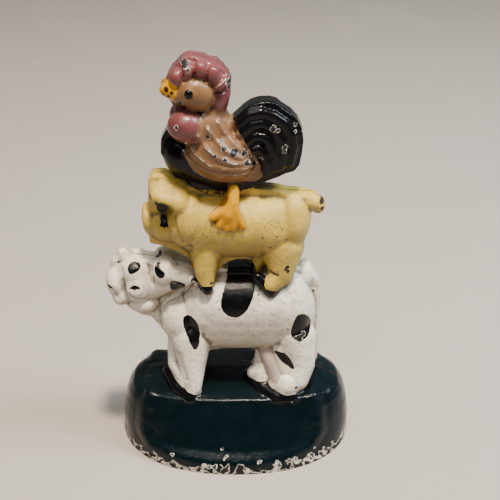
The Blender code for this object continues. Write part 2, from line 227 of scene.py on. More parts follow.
# tail feathers: radius and a bent line of points (x, z) at one depth
FEATHERS = [
    (2.9, -7.0, [
        (3, 190), (8, 194.6), (14, 196), (20.5, 194), (26, 190), (29.4, 184), (30.4, 177), (28.6, 169),
    ]),
    (2.8, -8.0, [
        (4, 185.5), (9.5, 189.8), (15, 190.8), (20.6, 187.6), (24.4, 181), (25.2, 174.5), (23.6, 167),
    ]),
    (2.7, -8.6, [(6, 180.5), (11, 184), (15.6, 183.4), (19.0, 179.4), (20.6, 173.4), (19.6, 166)]),
    (2.6, -9.0, [(9, 176), (12.6, 177.4), (15.4, 174.6), (16.8, 169.6), (16.0, 163.5)]),
]

# strokes raised from the skin or, when negative, pressed into it: height, half width, line (x, z)
STROKES = [
    # hackle feathers
    (1.0, 1.9, [(-26, 177), (-21, 171), (-12, 167), (0, 165.5), (10, 165)]),
    (1.0, 1.9, [(-24, 183), (-19, 176.5), (-12, 171.5), (-2, 169), (9, 168)]),
    (1.0, 1.9, [(-18, 187), (-14.5, 180.5), (-8, 175.5), (0, 172), (8, 170.5)]),
    (1.0, 1.8, [(-13, 190), (-9.5, 184), (-4, 178.5), (4, 174)]),
    (1.0, 1.8, [(-8, 192), (-5, 187), (0, 181), (6, 175.5)]),
    (0.6, 1.6, [(-4, 192), (-1, 188), (3, 182)]),
    # comb folds
    (-0.9, 1.3, [(-25.0, 213.4), (-25.6, 220.0)]),
    (-0.9, 1.3, [(-19.4, 214.6), (-19.2, 222.0)]),
    (-0.9, 1.3, [(-13.6, 213.4), (-12.6, 220.6)]),
    (-0.9, 1.3, [(-9.6, 211.2), (-4.6, 215.4)]),
    (-0.9, 1.3, [(-8.6, 207.2), (-2.4, 207.6)]),
    # cow: muzzle, brow and poll creases, mouth, under the eye, shoulder, leg pair, thigh
    (-1.2, 1.9, [(-62.5, 110), (-60.8, 103), (-60.2, 96), (-58.6, 90.5)]),
    (-1.2, 1.9, [(-46.5, 113), (-45.4, 107), (-44.2, 101)]),
    (-0.7, 1.2, [(-66.8, 97.5), (-65.0, 94), (-63.2, 91)]),
    (-0.7, 1.3, [(-58, 94.6), (-54, 92.6), (-49, 91.4)]),
    (0.5, 1.2, [(-57.5, 97.4), (-54.4, 95.6), (-50.6, 96.6)]),
    (-0.9, 2.8, [(-31.4, 60), (-29.8, 53), (-27.4, 46.5)]),
    (-0.6, 3.2, [(-17.5, 76), (-16.5, 70), (-13, 65.5)]),
    (-0.35, 4.0, [(21, 84), (20, 74), (23, 66)]),
    # pig: cheek crease, jaw, belly folds over the legs, foot crease
    (-1.2, 2.6, [(-31.6, 143), (-31.4, 137), (-29.4, 131), (-27, 127.5)]),
    (-0.5, 2.6, [(-23.6, 125), (-23.4, 120)]),
    (-0.5, 3.0, [(14.5, 124), (15, 119)]),
    (-0.9, 1.2, [(16, 111.5), (19, 109.4), (23, 108.4)]),
    # mound: lip of the shelf, rim of the dished panel
    (0.5, 1.6, [(-50, 34.0), (0, 34.6), (50, 34.0)]),
    (1.5, 6.0, [
        (-48, 34), (-51.5, 25), (-52.5, 15), (-48, 8.4), (-30, 6.4), (0, 5.6), (28, 6.6), (42, 9.6),
        (47.5, 16), (46.4, 26), (44, 34),
    ]),
]

# pockets pressed back to a depth from the seam: depth, outline (x, z)
POCKETS = [
    # between the cow's jaw and shoulder
    (6.6, [
        (-45, 80.5), (-40, 79), (-36.5, 84.5), (-29.5, 88), (-25, 91.5), (-21.8, 96.5), (-21, 101.5),
        (-25, 98), (-30, 93.8), (-36, 90), (-41, 86.2),
    ]),
    # under the pig's ear and under the beak
    (8.6, [
        (-43, 146.5), (-39.5, 148.6), (-34.5, 147.2), (-31.6, 143), (-33.0, 140.2), (-37, 139.2),
        (-40.6, 140.4),
    ]),
    (6.4, [(-36, 204), (-31.5, 203), (-27.5, 199.6), (-30, 197.6), (-36, 199)]),
]

# painted shapes (x, z), their corners rounded when laid on; those of one paint are joined
MARKS = [
    ("body", [
        (-14.4, 199), (-5.5, 197), (-1.2, 193), (2.4, 187), (15.6, 164.6), (14.0, 159.6), (9.6, 158),
        (0, 158.6), (-9, 159.6), (-16, 162), (-22, 166.6), (-24.8, 174), (-24.8, 181), (-22.8, 186),
    ]),
    ("leg", [
        (-2.4, 154.5), (2.4, 154.5), (2.2, 151), (2.8, 146), (5.6, 136.6), (4.2, 135.8), (1.6, 141.8),
        (0.3, 135.2), (-0.9, 135.2), (-1.9, 140.8), (-3.6, 135.2), (-5.0, 135.6), (-5.4, 141.0),
        (-8.2, 137.0), (-9.6, 137.8), (-8.6, 142.6), (-13.6, 141.2), (-13.4, 142.6), (-4.2, 149.8),
    ]),
    ("beak", [(-38, 213), (-28.2, 212.4), (-27.6, 206), (-31, 203.2), (-35, 205.4), (-38, 208)]),
    # cow's spots
    ("ink", [
        (-29.0, 81.4), (-26, 82.6), (-22.2, 82), (-19.4, 77.2), (-19.2, 70.6), (-21.6, 63), (-24.4, 68.4),
        (-27.6, 74.6),
    ]),
    ("ink", [
        (-3.4, 112), (-3.4, 104.4), (-6.2, 98), (-7.9, 91.6), (-5.8, 86.2), (0, 83.6), (4.6, 85.6),
        (8.4, 91), (11.0, 98), (11.4, 103), (11.4, 112),
    ]),
    ("ink", [
        (35, 85.8), (39.6, 83.4), (42.6, 76), (40.6, 71), (35.4, 68.8), (31, 70.8), (30.6, 75.6),
        (32.6, 82.6),
    ]),
    ("ink", [(20.8, 60.4), (27.4, 61.0), (31.2, 57.4), (33.4, 52), (29.6, 53), (25.2, 56.2)]),
    ("ink", [
        (-58.0, 109.2), (-57.2, 111.2), (-54.6, 112), (-51.8, 111.4), (-50.7, 109.8), (-52, 108.2),
        (-55, 107.2), (-57, 106.8),
    ]),
    ("ink", [
        (-43.8, 108.4), (-43.0, 110.8), (-40.8, 111.3), (-39.9, 109.8), (-37.8, 108.8), (-37.3, 106.6),
        (-38.8, 104.8), (-41.4, 105.2),
    ]),
    ("ink", [(-35.4, 101.6), (-33.0, 103.4), (-26.4, 101.8), (-27.4, 97.8), (-30.8, 94.0), (-35.0, 94.6)]),
    # cow's nostril, eye with its lashes, mouth corner
    ("ink", [(-69.4, 99.8), (-67.4, 99.4), (-65.8, 98.4), (-67.4, 97.5), (-69.2, 98.2)]),
    ("ink", [
        (-58, 98), (-56, 100.4), (-54.3, 101.4), (-52.2, 100.7), (-50.2, 98.4), (-52.4, 99.4),
        (-54.3, 98), (-56.2, 99.2),
    ]),
    ("ink", [(-57.8, 90), (-55.8, 91), (-56.4, 88.4), (-57.5, 88)]),
    # pig's eye and lashes
    ("ink", [
        (-39.6, 139.4), (-38.8, 135.8), (-40.2, 133.8), (-37.8, 135), (-36.8, 132.8), (-36.4, 135),
        (-34.6, 133.2), (-35.6, 137), (-36.2, 139.4),
    ]),
]

# knocks in the enamel, white-rimmed round bare iron: x, z, radius
CHIPS = [
    # hackle
    (-9.4, 176.2, 1.1), (-4.8, 179.9, 1.7), (-4.3, 174.7, 1.4), (0.2, 177.4, 2.3), (5.4, 176.4, 1.9),
    (6.9, 170.8, 1.9), (10.6, 168.6, 1.8), (8.6, 173.6, 1.0), (-12.9, 185.3, 1.5), (-6, 183, 1.0),
    # tail
    (19.9, 188.6, 1.9), (22.4, 187.4, 1.3), (26.2, 178.4, 1.7), (26.2, 176.2, 1.2), (31.4, 189.4, 1.1),
    (14.0, 172.6, 1.1), (31.6, 186.2, 0.9),
    # comb, face and wattle
    (-24.0, 221.8, 2.1), (-22.2, 219.2, 1.3), (-26.2, 223.0, 1.0), (-2.0, 212.4, 1.8), (-2.2, 209.0, 1.3),
    (-26.6, 202.2, 1.5), (-28.6, 191.4, 1.4), (-36.2, 209.6, 0.8),
    # pig's ear and the cow's head and rump
    (-40.4, 149.4, 1.5), (-33.0, 101.2, 1.2), (-41.2, 111.6, 1.2), (35.4, 70.8, 2.2), (37.6, 72.6, 1.5),
    (33.2, 71.0, 1.2),
    # mound
    (-7.3, 12.3, 0.9),
]

# dark brown spots: x, z, radius; among them the beak's nicks, and the pig's ear hollow, dark brown partly
# from its paint and partly as painted shade under the ear flap
SPECKS_AND_EAR_SHADE = [
    (-39.8, 146.6, 2.9), (-38.2, 143.0, 3.0), (-33.4, 208.8, 1.3), (-30.6, 207.6, 1.0),
    (-32.4, 205.4, 0.9), (-35.4, 205.6, 0.7), (28.2, 113.4, 1.3), (28.6, 110.8, 0.9), (27.2, 112.0, 0.8),
    (46.6, 145.6, 1.5), (46.6, 142.0, 1.1), (44.6, 139.4, 0.9), (-43.8, 152.4, 1.1), (32.8, 152.0, 0.7),
    (14.8, 131.0, 0.7), (19.0, 124.6, 0.6), (-22.6, 124.6, 0.7), (-12.4, 103.6, 0.8), (22.5, 131.5, 0.5),
    (27.5, 129.0, 0.6), (25.0, 135.0, 0.5), (34.0, 42.4, 0.9), (43.2, 92.4, 0.8), (46.6, 99.0, 0.8),
    (-8.4, 89.0, 0.7), (29.0, 82.6, 0.6), (29.0, 76.0, 0.6), (19.6, 78.6, 0.7), (-63.6, 109.4, 0.7),
    (-12.0, 80.0, 0.5), (13.0, 96.0, 0.5),
]

# hollows of the castings: start, end and outside radius of each barrel
HOLLOWS = [
    ((-13, 0, 168), (-1, 0, 170), 15.5),
    ((-20, 0, 132), (20, 0, 131), 18.5),
    ((-14, 0, 82), (24, 0, 82), 21.5),
]


class DoorstopClay(PropertyGroup):
    """Sizes of the modelled castings."""

    voxel: FloatProperty(
        name="Clay grain", description="Smallest detail of the casting's skin",
        default=0.00073, min=0.0003, max=0.003, subtype="DISTANCE", unit="LENGTH",
    )
    soften: IntProperty(
        name="Soften", description="Smoothing passes over the joined masses",
        default=8, min=0, max=40,
    )


class DoorstopPaint(PropertyGroup):
    """Enamel colours, as brushed on."""

    cow: FloatVectorProperty(
        name="Cow white", description="Off-white of the cow",
        default=(0.88, 0.83, 0.72), subtype="COLOR", min=0.0, max=1.0,
    )
    pig: FloatVectorProperty(
        name="Pig yellow", description="Pale yellow of the pig",
        default=(0.59, 0.415, 0.070), subtype="COLOR", min=0.0, max=1.0,
    )
    black: FloatVectorProperty(
        name="Black", description="Spots, hooves, breast and tail",
        default=(0.004, 0.004, 0.005), subtype="COLOR", min=0.0, max=1.0,
    )
    base: FloatVectorProperty(
        name="Base teal", description="Very dark teal of the mound",
        default=(0.0022, 0.0068, 0.0092), subtype="COLOR", min=0.0, max=1.0,
    )
    comb: FloatVectorProperty(
        name="Comb rose", description="Dusty rose of comb and wattle",
        default=(0.165, 0.052, 0.054), subtype="COLOR", min=0.0, max=1.0,
    )
    body: FloatVectorProperty(
        name="Feather tan", description="Tan of the rooster's hackle",
        default=(0.215, 0.115, 0.060), subtype="COLOR", min=0.0, max=1.0,
    )
    face: FloatVectorProperty(
        name="Face tan", description="Lighter tan of the face",
        default=(0.215, 0.112, 0.052), subtype="COLOR", min=0.0, max=1.0,
    )
    leg: FloatVectorProperty(
        name="Leg yellow", description="Golden yellow of beak, leg and toes",
        default=(0.60, 0.28, 0.0), subtype="COLOR", min=0.0, max=1.0,
    )
    udder: FloatVectorProperty(
        name="Udder mauve", description="Greyish pink of the udder",
        default=(0.46, 0.37, 0.32), subtype="COLOR", min=0.0, max=1.0,
    )


class DoorstopStage(PropertyGroup):
    """Floor, lamps and camera."""

    floor_size: FloatProperty(
        name="Floor size", description="Side of the floor",
        default=6.0, subtype="DISTANCE", unit="LENGTH",
    )
    camera_distance: FloatProperty(
        name="Camera distance", description="Level distance from the seam plane",
        default=0.4887, subtype="DISTANCE", unit="LENGTH",
    )
    camera_height: FloatProperty(
        name="Camera height", description="Height of the lens above the ground",
        default=0.3636, subtype="DISTANCE", unit="LENGTH",
    )
    camera_tilt: FloatProperty(
        name="Camera tilt", description="Downward tilt from level",
        default=math.radians(27.0), subtype="ANGLE", unit="ROTATION",
    )


# ---------------------------------------------------------------- clay shapes

def mesh_object(shape, name):
    mesh = bpy.data.meshes.new(name)
    bmesh.ops.recalc_face_normals(shape, faces=shape.faces)
    shape.to_mesh(mesh)
    shape.free()
    made = bpy.data.objects.new(name, mesh)
    bpy.context.scene.collection.objects.link(made)
    return made


def remove_object(thing):
    mesh = thing.data
    bpy.data.objects.remove(thing, do_unlink=True)
    if mesh.users == 0:
        bpy.data.meshes.remove(mesh)


def merge(shape, part):
    """Adds one bmesh to another."""
    mesh = bpy.data.meshes.new("part")
    part.to_mesh(mesh)
    part.free()
    shape.from_mesh(mesh)
    bpy.data.meshes.remove(mesh)


def add_ball(shape, centre, radii, turn, detail=4):
    size = Matrix.Diagonal((*(Vector(radii) * MM), 1.0))
    place = Matrix.Translation(Vector(centre) * MM)
    spin = Matrix.Rotation(math.radians(turn), 4, "Y")
    bmesh.ops.create_icosphere(shape, subdivisions=detail, radius=1.0, matrix=place @ spin @ size)


def add_limb(shape, start, start_radius, end, end_radius):
    """The skin stretched over two balls."""
    part = bmesh.new()
    detail = 4 if max(start_radius, end_radius) > 7 else 3
    for centre, radius in ((start, start_radius), (end, end_radius)):
        place = Matrix.Translation(Vector(centre) * MM)
        bmesh.ops.create_icosphere(part, subdivisions=detail, radius=radius * MM, matrix=place)
    bmesh.ops.delete(part, geom=part.edges, context="EDGES_FACES")
    bmesh.ops.convex_hull(part, input=part.verts)
    spare = [v for v in part.verts if not v.link_faces]
    bmesh.ops.delete(part, geom=spare, context="VERTS")
    merge(shape, part)


def add_cylinder(shape, x, z, radius, y_start, y_end, segments=48):
    """A closed cylinder along y."""
    middle = Vector((x, (y_start + y_end) / 2, z)) * MM
    turn = Matrix.Translation(middle) @ Matrix.Rotation(math.radians(90), 4, "X")
    bmesh.ops.create_cone(
        shape, cap_ends=True, segments=segments, radius1=radius * MM, radius2=radius * MM,
        depth=(y_end - y_start) * MM, matrix=turn,
    )


def add_box(shape, low, high):
    middle = (Vector(low) + Vector(high)) / 2 * MM
    size = (Vector(high) - Vector(low)) * MM
    matrix = Matrix.Translation(middle) @ Matrix.Diagonal((*size, 1.0))
    bmesh.ops.create_cube(shape, size=1.0, matrix=matrix)


def add_plate(shape, points, half):
    """A flat plate of an outline in xz, reaching from -half to +half along y."""
    curve = bpy.data.curves.new("outline", "CURVE")
    curve.dimensions = "2D"
    curve.fill_mode = "BOTH"
    curve.extrude = half * MM
    line = curve.splines.new("POLY")
    line.points.add(len(points) - 1)
    for point, (x, z) in zip(line.points, points):
        point.co = (x * MM, z * MM, 0.0, 1.0)
    line.use_cyclic_u = True
    holder = bpy.data.objects.new("outline", curve)
    mesh = bpy.data.meshes.new_from_object(holder)
    mesh.transform(Matrix.Rotation(math.radians(90), 4, "X"))
    part = bmesh.new()
    part.from_mesh(mesh)
    bmesh.ops.remove_doubles(part, verts=part.verts, dist=1e-6)
    merge(shape, part)
    bpy.data.objects.remove(holder)
    bpy.data.curves.remove(curve)
    bpy.data.meshes.remove(mesh)


def apply_modifiers(target):
    bpy.context.view_layer.update()
    graph = bpy.context.evaluated_depsgraph_get()
    mesh = bpy.data.meshes.new_from_object(target.evaluated_get(graph))
    old = target.data
    target.modifiers.clear()
    target.data = mesh
    bpy.data.meshes.remove(old)


def boolean(target, tool, operation, solver="MANIFOLD"):
    change = target.modifiers.new("cut", "BOOLEAN")
    change.operation = operation
    change.solver = solver
    change.object = tool
    apply_modifiers(target)


def plan_point(turn, half_length, half_depth, squareness):
    power = 2.0 / squareness
    x = math.copysign(abs(math.cos(turn)) ** power, math.cos(turn)) * half_length
    y = math.copysign(abs(math.sin(turn)) ** power, math.sin(turn)) * half_depth
    return x, y


def make_mound(name, inset):
    """The oval base, or with an inset the hollow inside it."""
    steps = 128
    shape = bmesh.new()
    rings = []
    for height, half_length, half_depth, squareness in MOUND_LEVELS:
        sunk = height - inset * (2.0 if height < 0 else 1.0)
        thin = max(half_depth - inset * 1.2, 0.4)
        ring = []
        for step in range(steps):
            x, y = plan_point(2 * math.pi * step / steps, half_length - inset, thin, squareness)
            ring.append(shape.verts.new((x * MM, y * MM, sunk * MM)))
        rings.append(ring)
    for lower, upper in zip(rings, rings[1:]):
        for step in range(steps):
            after = (step + 1) % steps
            shape.faces.new((lower[step], lower[after], upper[after], upper[step]))
    shape.faces.new(list(reversed(rings[0])))
    shape.faces.new(rings[-1])
    return mesh_object(shape, name)


def mirrored(point):
    return (point[0], -point[1], point[2])


def feather_limbs():
    """Each feather is a chain of short limbs."""
    limbs = []
    for radius, depth, points in FEATHERS:
        for (x0, z0), (x1, z1) in zip(points, points[1:]):
            limbs.append(("black", (x0, depth, z0), radius, (x1, depth, z1), radius))
    return limbs


def side_limbs(side):
    """Limbs of the front (-1) or back (+1) as placed."""
    both = LIMBS + feather_limbs()
    if side < 0:
        return both + FRONT_LIMBS
    return [(paint, mirrored(a), ra, mirrored(b), rb) for paint, a, ra, b, rb in both]


def model_outside(settings):
    """One skin over plates, masses and limbs of both sides, with its foot cut flat."""
    shape = bmesh.new()
    for _, half, points in PLATES:
        add_plate(shape, points, half)
    for _, centre, radii, turn in BALLS:
        add_ball(shape, centre, radii, turn)
        add_ball(shape, mirrored(centre), radii, turn)
    for _, start, start_radius, end, end_radius in side_limbs(-1) + side_limbs(1):
        add_limb(shape, start, start_radius, end, end_radius)
    mound = make_mound("mound", 0.0)
    shape.from_mesh(mound.data)
    remove_object(mound)
    figure = mesh_object(shape, "figure_skin")
    skin = figure.modifiers.new("skin", "REMESH")
    skin.mode = "VOXEL"
    skin.voxel_size = settings.voxel
    soften = figure.modifiers.new("soften", "SMOOTH")
    soften.factor = 0.5
    soften.iterations = settings.soften
    apply_modifiers(figure)
    press_strokes(figure.data)
    return figure


# ---------------------------------------------------------------- fields on the skin

def vertex_places(mesh):
    places = np.empty(len(mesh.vertices) * 3, np.float32)
    mesh.vertices.foreach_get("co", places)
    return places.reshape(-1, 3).astype(np.float64) / MM


def vertex_normals(mesh):
    normals = np.empty(len(mesh.vertices) * 3, np.float32)
    mesh.vertex_normals.foreach_get("vector", normals)
    return normals.reshape(-1, 3).astype(np.float64)


def set_places(mesh, places):
    mesh.vertices.foreach_set("co", (places * MM).astype(np.float32).ravel())
    mesh.update()


def ball_distance(places, centre, radii, turn):
    angle = math.radians(turn)
    local = places - np.array(centre, float)
    x = local[:, 0] * math.cos(angle) - local[:, 2] * math.sin(angle)
    z = local[:, 0] * math.sin(angle) + local[:, 2] * math.cos(angle)
    scaled = np.stack([x / radii[0], local[:, 1] / radii[1], z / radii[2]], 1)
    steep = np.stack([x / radii[0] ** 2, local[:, 1] / radii[1] ** 2, z / radii[2] ** 2], 1)
    near = np.linalg.norm(scaled, axis=1)
    return near * (near - 1) / np.maximum(np.linalg.norm(steep, axis=1), 1e-6)


def limb_distance(places, start, start_radius, end, end_radius):
    a = np.array(start, float)
    along = np.array(end, float) - a
    share = np.clip((places - a) @ along / max(along @ along, 1e-9), 0, 1)
    nearest = a + share[:, None] * along
    return np.linalg.norm(places - nearest, axis=1) - (start_radius + share * (end_radius - start_radius))


def line_distance(points, x, z):
    """Distance in xz to an open bent line."""
    best = np.full(len(x), 1e9)
    for (x0, z0), (x1, z1) in zip(points, points[1:]):
        dx, dz = x1 - x0, z1 - z0
        share = np.clip(((x - x0) * dx + (z - z0) * dz) / (dx * dx + dz * dz), 0, 1)
        best = np.minimum(best, np.hypot(x - x0 - share * dx, z - z0 - share * dz))
    return best


def outline_distance(points, x, z):
    """Signed distance in xz to a closed outline, negative inside."""
    closed = list(points) + [points[0]]
    best = line_distance(closed, x, z)
    inside = np.zeros(len(x), bool)
    for (x0, z0), (x1, z1) in zip(closed, closed[1:]):
        if z0 == z1:
            continue
        crosses = (z0 > z) != (z1 > z)
        inside ^= crosses & (x < (x1 - x0) * (z - z0) / (z1 - z0) + x0)
    return np.where(inside, -best, best)


def plate_distance(places, points, half):
    flat = outline_distance(points, places[:, 0], places[:, 2])
    through = np.abs(places[:, 1]) - half
    outside = np.hypot(np.maximum(flat, 0), np.maximum(through, 0))
    return np.minimum(np.maximum(flat, through), 0) + outside


def mound_height(places):
    """Height of the mound under each point of the plan."""
    across = np.abs(places[:, :2])
    height = np.full(len(places), MOUND_LEVELS[0][0])
    inner = None
    for level, half_length, half_depth, squareness in MOUND_LEVELS:
        size = (across[:, 0] / half_length) ** squareness + (across[:, 1] / half_depth) ** squareness
        outer = size ** (1 / squareness) - 1
        if inner is not None:
            share = np.clip(-inner / np.maximum(outer - inner, 1e-6), 0, 1)
            height = np.where(inner <= 0, below + share * (level - below), height)
        inner, below = outer, level
    return height


def near_box(points, places, margin):
    """Which places lie within a margin of the box round some points."""
    low = np.min(points, axis=0) - margin
    high = np.max(points, axis=0) + margin
    x, z = places[:, 0], places[:, 2]
    return np.nonzero((x > low[0]) & (x < high[0]) & (z > low[1]) & (z < high[1]))[0]


def rounded(points):
    """A closed outline with its corners cut off twice over."""
    for _ in range(2):
        cut = []
        for (x0, z0), (x1, z1) in zip(points, points[1:] + points[:1]):
            cut.append((0.75 * x0 + 0.25 * x1, 0.75 * z0 + 0.25 * z1))
            cut.append((0.25 * x0 + 0.75 * x1, 0.25 * z0 + 0.75 * z1))
        points = cut
    return points


SEAM_KEEP = 6.5
SEAM_BLEND = 2
POCKET_MARGIN = 6
POCKET_SLOPE = 2.2
POCKET_BANK = 1.6


def press_strokes(mesh):
    """Raises and presses the strokes, on both sides alike, and leaves the seam edge alone."""
    places = vertex_places(mesh)
    shift = np.zeros(len(places))
    for height, width, line in STROKES:
        held = near_box(line, places, width)
        near = np.clip(1 - line_distance(line, places[held, 0], places[held, 2]) / width, 0, 1)
        shift[held] += height * near * near * (3 - 2 * near)
    shift *= np.clip((np.abs(places[:, 1]) - SEAM_KEEP) / SEAM_BLEND, 0, 1)
    places += shift[:, None] * vertex_normals(mesh)
    for depth, points in POCKETS:
        held = near_box(points, places, POCKET_MARGIN)
        edge = outline_distance(rounded(points), places[held, 0], places[held, 2])
        limit = depth + POCKET_SLOPE * np.maximum(edge + POCKET_BANK, 0)
        y = places[held, 1]
        places[held, 1] = np.sign(y) * np.minimum(np.abs(y), limit)
    set_places(mesh, places)


FAR_AWAY = 60.0
FIELD_LIMIT = 8.0
MARK_MARGIN = 9
MOUND_SLOPE = 0.8
PLATE_SINK = 0.4


def paint_fields(places):
    """For each paint, how far inside its own shapes a point lies, against the paints below it."""
    side = places.copy()
    side[:, 1] = -np.abs(side[:, 1])
    near = {name: np.full(len(side), FAR_AWAY) for name in PAINTS}
    near["base"] = (side[:, 2] - mound_height(side)) * MOUND_SLOPE
    for paint, half, points in PLATES:
        near[paint] = np.minimum(near[paint], plate_distance(side, points, half) + PLATE_SINK)
    for paint, centre, radii, turn in BALLS:
        near[paint] = np.minimum(near[paint], ball_distance(side, centre, radii, turn))
    for paint, start, start_radius, end, end_radius in side_limbs(-1):
        near[paint] = np.minimum(near[paint], limb_distance(side, start, start_radius, end, end_radius))
    for paint, points in MARKS:
        held = near_box(points, side, MARK_MARGIN)
        edge = outline_distance(rounded(points), side[held, 0], side[held, 2])
        near[paint][held] = np.minimum(near[paint][held], edge)
    fields = {}
    below = near[PAINTS[0]]
    for name in PAINTS[1:]:
        fields[name] = np.clip(np.maximum(below, 0) - near[name], -FIELD_LIMIT, FIELD_LIMIT)
        below = np.minimum(below, near[name])
    return fields


def chip_field(places, chips):
    """Millimetres inside the rim of the nearest chip, below 0 outside."""
    best = np.full(len(places), -4.0)
    for x, z, radius in chips:
        best = np.maximum(best, radius - np.hypot(places[:, 0] - x, places[:, 2] - z))
    return best


def store(mesh, name, values):
    held = mesh.attributes.get(name) or mesh.attributes.new(name, "FLOAT", "POINT")
    held.data.foreach_set("value", np.asarray(values, np.float32))


def edge_ends(mesh):
    ends = np.empty(len(mesh.edges) * 2, np.int32)
    mesh.edges.foreach_get("vertices", ends)
    return ends.reshape(-1, 2)


def relaxed(places, ends, rounds):
    """Places after so many rounds of moving each point to the middle of its neighbours."""
    count = np.bincount(ends.ravel(), minlength=len(places)).astype(float)[:, None]
    now = places.copy()
    for _ in range(rounds):
        total = np.zeros_like(now)
        for axis in range(3):
            total[:, axis] = np.bincount(ends[:, 0], now[ends[:, 1], axis], len(now))
            total[:, axis] += np.bincount(ends[:, 1], now[ends[:, 0], axis], len(now))
        now = 0.5 * now + 0.5 * total / np.maximum(count, 1)
    return now


def mark_skin(mesh):
    """Writes the paint, chip and curvature fields that the material reads."""
    places = vertex_places(mesh)
    for paint, field in paint_fields(places).items():
        store(mesh, "paint_" + paint, field)
    store(mesh, "chip", chip_field(places, CHIPS))
    store(mesh, "speck", chip_field(places, SPECKS_AND_EAR_SHADE))
    calm = relaxed(places, edge_ends(mesh), 6)
    store(mesh, "bulge", np.sum((places - calm) * vertex_normals(mesh), axis=1))
    store(mesh, "under", -vertex_normals(mesh)[:, 2])
    store(mesh, "skin", np.ones(len(places)))


# ---------------------------------------------------------------- castings

def hollow_tools():
    """The inside of the castings, with bosses left standing for the screws."""
    tools = []
    for number, (start, end, radius) in enumerate(HOLLOWS):
        shape = bmesh.new()
        add_limb(shape, start, radius - WALL, end, radius - WALL)
        tool = mesh_object(shape, f"hollow_{number}")
        for x, z in SCREW_PLACES.values():
            boss = bmesh.new()
            add_cylinder(boss, x, z, BOSS_RADIUS, -40, 40)
            cutter = mesh_object(boss, "boss")
            boolean(tool, cutter, "DIFFERENCE", "EXACT")
            remove_object(cutter)
        tools.append(tool)
    tools.append(make_mound("base_hollow", WALL))
    return tools


def screw_tools():
    tools = []
    for x, z in SCREW_PLACES.values():
        for radius, start, end in (
            (HOLE_RADIUS, SCREW_TIP_Y - 0.4, SEAT_Y + 1.0),
            (SEAT_RADIUS, SEAT_Y, 45),
        ):
            shape = bmesh.new()
            add_cylinder(shape, x, z, radius, start, end)
            tools.append(mesh_object(shape, "drill"))
    return tools


def cut_half(figure, name, side, tools):
    half = bpy.data.objects.new(name, figure.data.copy())
    bpy.context.scene.collection.objects.link(half)
    near = SEAM_GAP / 2
    block = bmesh.new()
    low = (-100, near if side > 0 else -80, 0)
    high = (100, 80 if side > 0 else -near, 260)
    add_box(block, low, high)
    keep = mesh_object(block, "keep")
    boolean(half, keep, "INTERSECT")
    remove_object(keep)
    for tool in tools:
        boolean(half, tool, "DIFFERENCE")
    return half


def place_casting(casting, node, material):
    casting.data.transform(Matrix.Translation((FIGURE_X * MM, 0.0, 0.0)))
    casting.data.materials.clear()
    casting.data.materials.append(material)
    casting.data.shade_smooth()
    casting.data.set_sharp_from_angle(angle=math.radians(50))
    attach(casting, "root")
    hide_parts(node)


# ---------------------------------------------------------------- materials

class Tree:
    """Short hand for building a material's nodes."""

    def __init__(self, material):
        material.use_nodes = True
        self.tree = material.node_tree
        self.shader = self.tree.nodes["Principled BSDF"]

    def link(self, source, target):
        self.tree.links.new(source, target)

    def feed(self, socket, value):
        if isinstance(value, bpy.types.NodeSocket):
            self.link(value, socket)
        else:
            socket.default_value = value

    def attribute(self, name):
        node = self.tree.nodes.new("ShaderNodeAttribute")
        node.attribute_name = name
        return node.outputs["Fac"]

    def math(self, operation, a, b=0.0, clamp=False):
        node = self.tree.nodes.new("ShaderNodeMath")
        node.operation = operation
        node.use_clamp = clamp
        self.feed(node.inputs[0], a)
        self.feed(node.inputs[1], b)
        return node.outputs[0]

    def ramp(self, value, low, high):
        """0 below low, 1 above high, smooth between."""
        node = self.tree.nodes.new("ShaderNodeMapRange")
        node.interpolation_type = "SMOOTHSTEP"
        self.feed(node.inputs["Value"], value)
        node.inputs["From Min"].default_value = low
        node.inputs["From Max"].default_value = high
        return node.outputs["Result"]

    def mix(self, factor, a, b):
        node = self.tree.nodes.new("ShaderNodeMix")
        node.data_type = "RGBA"
        self.feed(node.inputs["Factor"], factor)
        self.feed(node.inputs[6], a)
        self.feed(node.inputs[7], b)
        return node.outputs[2]

    def blend(self, factor, a, b):
        node = self.tree.nodes.new("ShaderNodeMix")
        node.data_type = "FLOAT"
        self.feed(node.inputs["Factor"], factor)
        self.feed(node.inputs[2], a)
        self.feed(node.inputs[3], b)
        return node.outputs[0]

    def place(self):
        """Where on the object a point lies, in metres."""
        node = self.tree.nodes.get("place")
        if node is None:
            node = self.tree.nodes.new("ShaderNodeTexCoord")
            node.name = "place"
        return node.outputs["Object"]

    def noise(self, size_mm, detail=3.0, roughness=0.55):
        """Noise whose features are about that many millimetres across."""
        node = self.tree.nodes.new("ShaderNodeTexNoise")
        node.inputs["Scale"].default_value = 1000.0 / size_mm
        node.inputs["Detail"].default_value = detail
        node.inputs["Roughness"].default_value = roughness
        self.link(self.place(), node.inputs["Vector"])
        return node.outputs["Fac"]

    def height_mm(self):
        """Height above the ground in millimetres."""
        split = self.tree.nodes.new("ShaderNodeSeparateXYZ")
        self.link(self.place(), split.inputs[0])
        return self.math("MULTIPLY", split.outputs["Z"], 1000.0)

    def bump(self, height, distance_mm, strength, normal=None):
        node = self.tree.nodes.new("ShaderNodeBump")
        node.inputs["Strength"].default_value = strength
        node.inputs["Distance"].default_value = distance_mm * MM
        self.link(height, node.inputs["Height"])
        if normal is not None:
            self.link(normal, node.inputs["Normal"])
        return node.outputs["Normal"]


def rgba(colour):
    return (*tuple(colour), 1.0)


def scaled(colour, amount):
    return tuple(min(1.0, c * amount) for c in colour)


